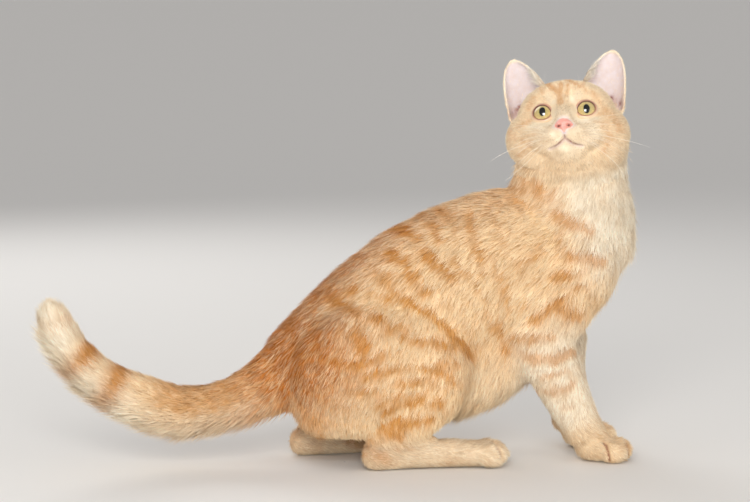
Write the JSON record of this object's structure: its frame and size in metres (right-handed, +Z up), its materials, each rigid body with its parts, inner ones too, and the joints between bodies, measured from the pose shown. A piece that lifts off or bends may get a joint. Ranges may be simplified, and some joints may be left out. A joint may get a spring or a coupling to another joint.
{
  "type": "cat",
  "caption": "Life-size still model of a short-haired cream tabby cat, crouching with its tail held out behind and its raised head turned to its right.",
  "frame": {"origin": "on the floor under the middle of the whole model's box, between the feet", "axes": "+X the way the body points, +Y towards the cat's left, +Z up; the feet stand on z = 0"},
  "size_m": [0.5553, 0.138, 0.3799],
  "materials": {
    "coat": "short cream fur with broken orange tabby stripes",
    "coat_pale": "pale cream fur, thin inside the ears",
    "nose_leather": "fine-grained moist pink skin",
    "eye": "clear and wet over a yellow-green iris"
  },
  "bodies": {
    "root": {"head": "coat", "neck": "coat", "torso": "coat", "tail_root": "coat", "tail_middle": "coat", "tail_end": "coat_pale", "foreleg_left": "coat", "foreleg_right": "coat", "forepaw_left": "coat", "forepaw_right": "coat", "hindleg_left": "coat", "hindleg_right": "coat", "hindfoot_left": "coat", "hindfoot_right": "coat", "ear_left": "coat_pale", "ear_right": "coat_pale", "eye_left": "eye", "eye_right": "eye", "nose": "nose_leather"}
  },
  "joints": []
}
